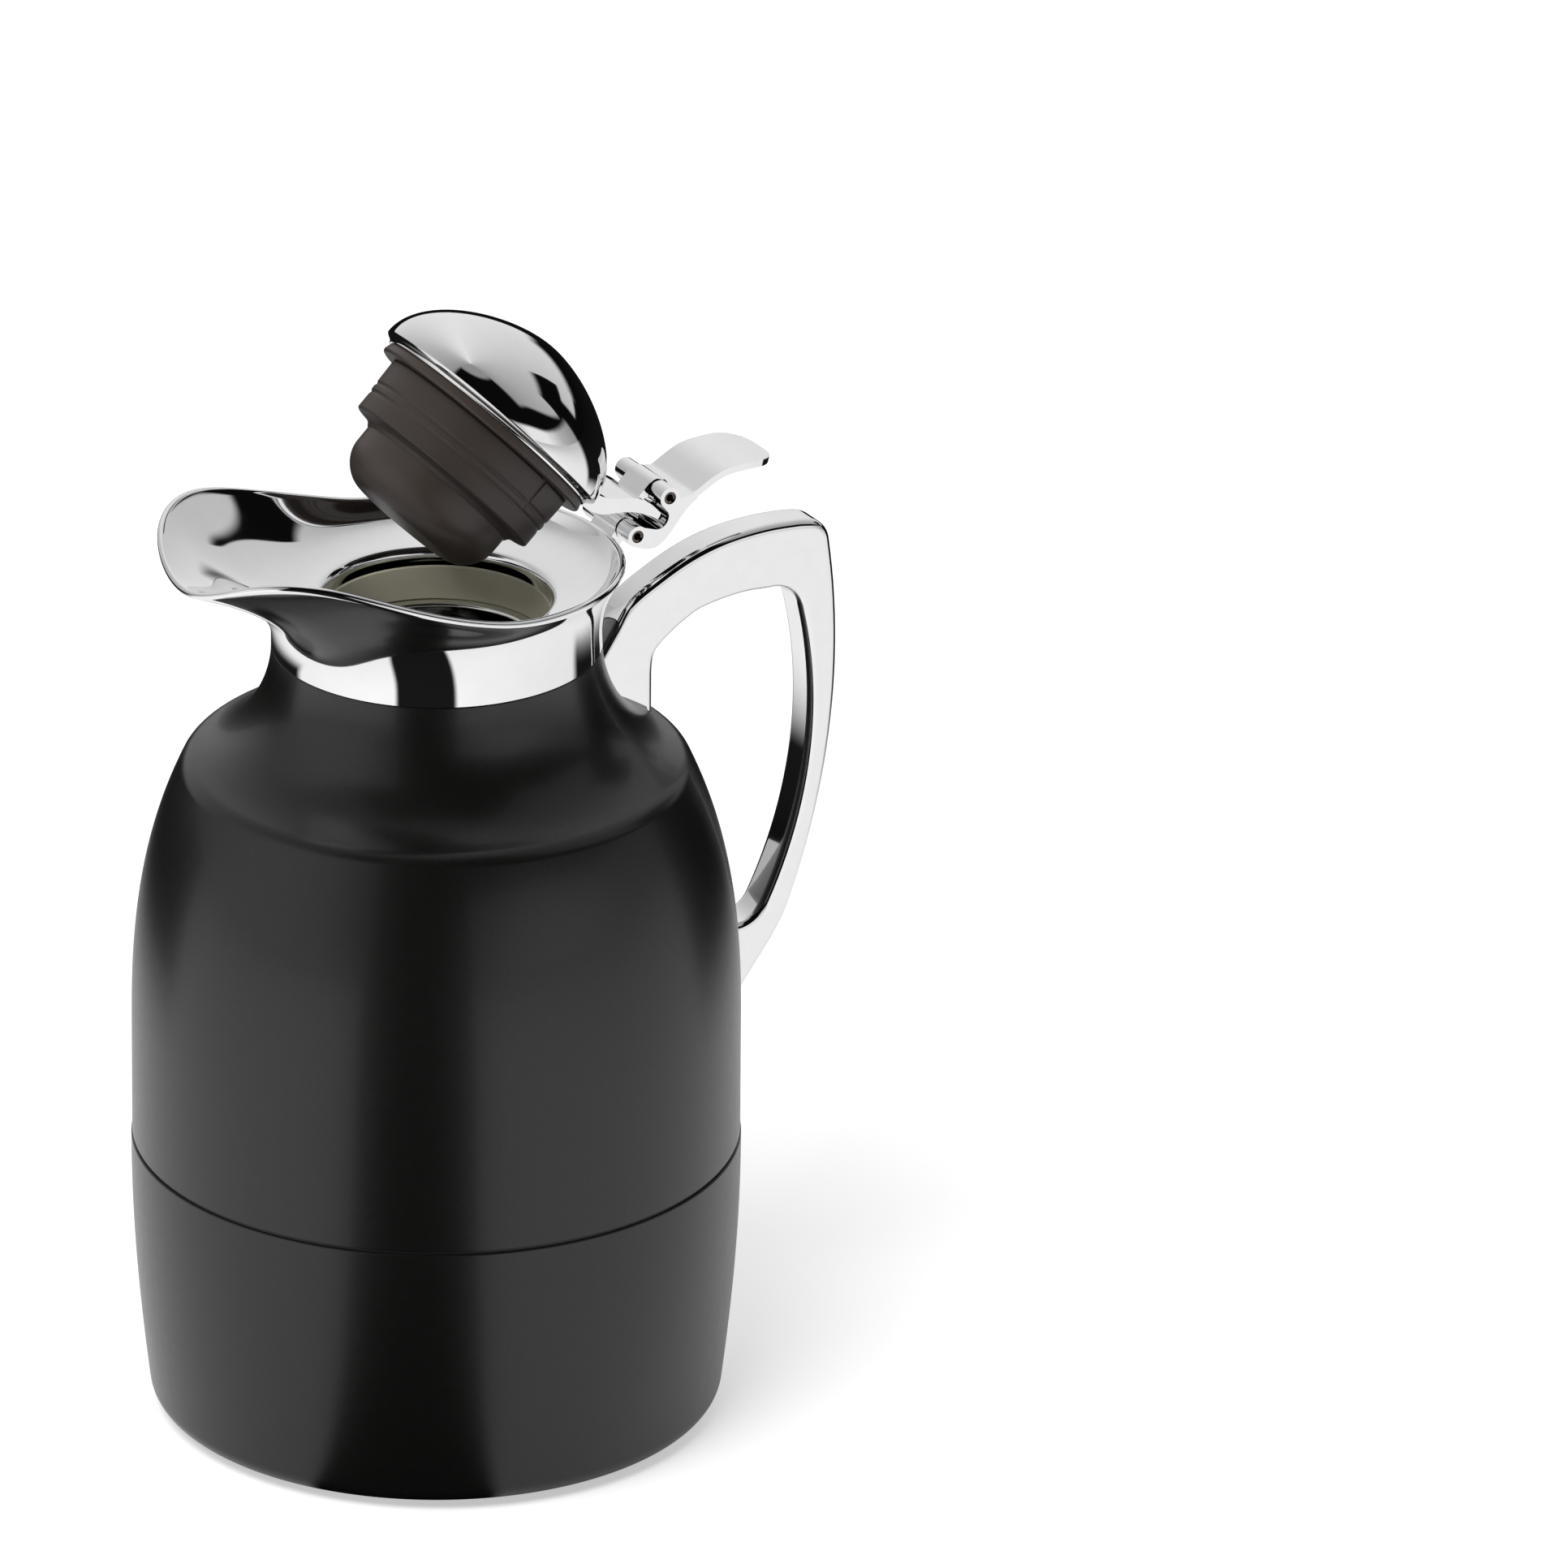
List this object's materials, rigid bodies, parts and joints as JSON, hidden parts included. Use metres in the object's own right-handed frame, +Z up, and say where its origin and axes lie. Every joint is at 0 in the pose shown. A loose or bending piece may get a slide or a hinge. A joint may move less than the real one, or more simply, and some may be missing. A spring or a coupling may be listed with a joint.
{
  "type": "thermal jug",
  "caption": "Thermal jug with a lacquered body, a glass vacuum flask, a flared pouring collar and a stopper lid on a thumb lever.",
  "frame": {"origin": "middle of the base pad's underside, on the body's axis, where the jug stands", "axes": "+Z up along the body's axis, +X towards the handle, -X towards the spout, +Y to the right of someone who holds the handle and looks towards the spout"},
  "size_m": [0.172, 0.1388, 0.263],
  "materials": {
    "black_lacquer": "gloss lacquer",
    "chrome": "mirror polished",
    "brushed_steel": "satin",
    "spring_steel": "browned",
    "silvered_glass": "silvered",
    "cream_rubber": "matte",
    "black_rubber": "matte",
    "black_plastic": "satin",
    "brown_plastic": "satin",
    "brown_rubber": "matte",
    "grey_pad": "matte",
    "foam": "open cells"
  },
  "bodies": {
    "jug": {"upper_shell": "black_lacquer", "lower_shell": "black_lacquer", "seam_ring": "black_plastic", "outer_glass": "silvered_glass", "inner_glass": "silvered_glass", "flask_spacers": "grey_pad", "base_frame": "black_plastic", "foot_ring": "black_rubber", "base_cap": "black_plastic", "base_pad": "black_rubber", "flask_cushion": "black_rubber", "spout_collar": "chrome", "collar_nut": "brushed_steel", "mouth_gasket": "cream_rubber", "handle": "chrome", "handle_screws": "brushed_steel", "handle_saddles": "brushed_steel", "hinge_bracket": "chrome"},
    "lever": {"thumb_lever": "chrome", "lever_pin": "spring_steel", "lid_pin": "spring_steel"},
    "lid": {"lid_arm": "chrome", "arm_screws": "brushed_steel", "lid_dome": "chrome", "lid_core": "brown_plastic", "stud_nut": "brown_plastic", "stopper_flange": "brown_plastic", "stopper_seal": "brown_rubber", "stopper_bulb": "brown_plastic", "stopper_foam": "foam"}
  },
  "joints": [
    {"name": "lever_hinge", "type": "hinge", "parent": "jug", "child": "lever", "pos_m": [0.0462, 0, 0.2054], "axis": [0, 1, 0], "range_deg": [-47.5, 4]},
    {"name": "lid_hinge", "type": "hinge", "parent": "lever", "child": "lid", "pos_m": [0.05461, 0, 0.2131], "axis": [0, 1, 0], "range_deg": [0, 90]}
  ]
}
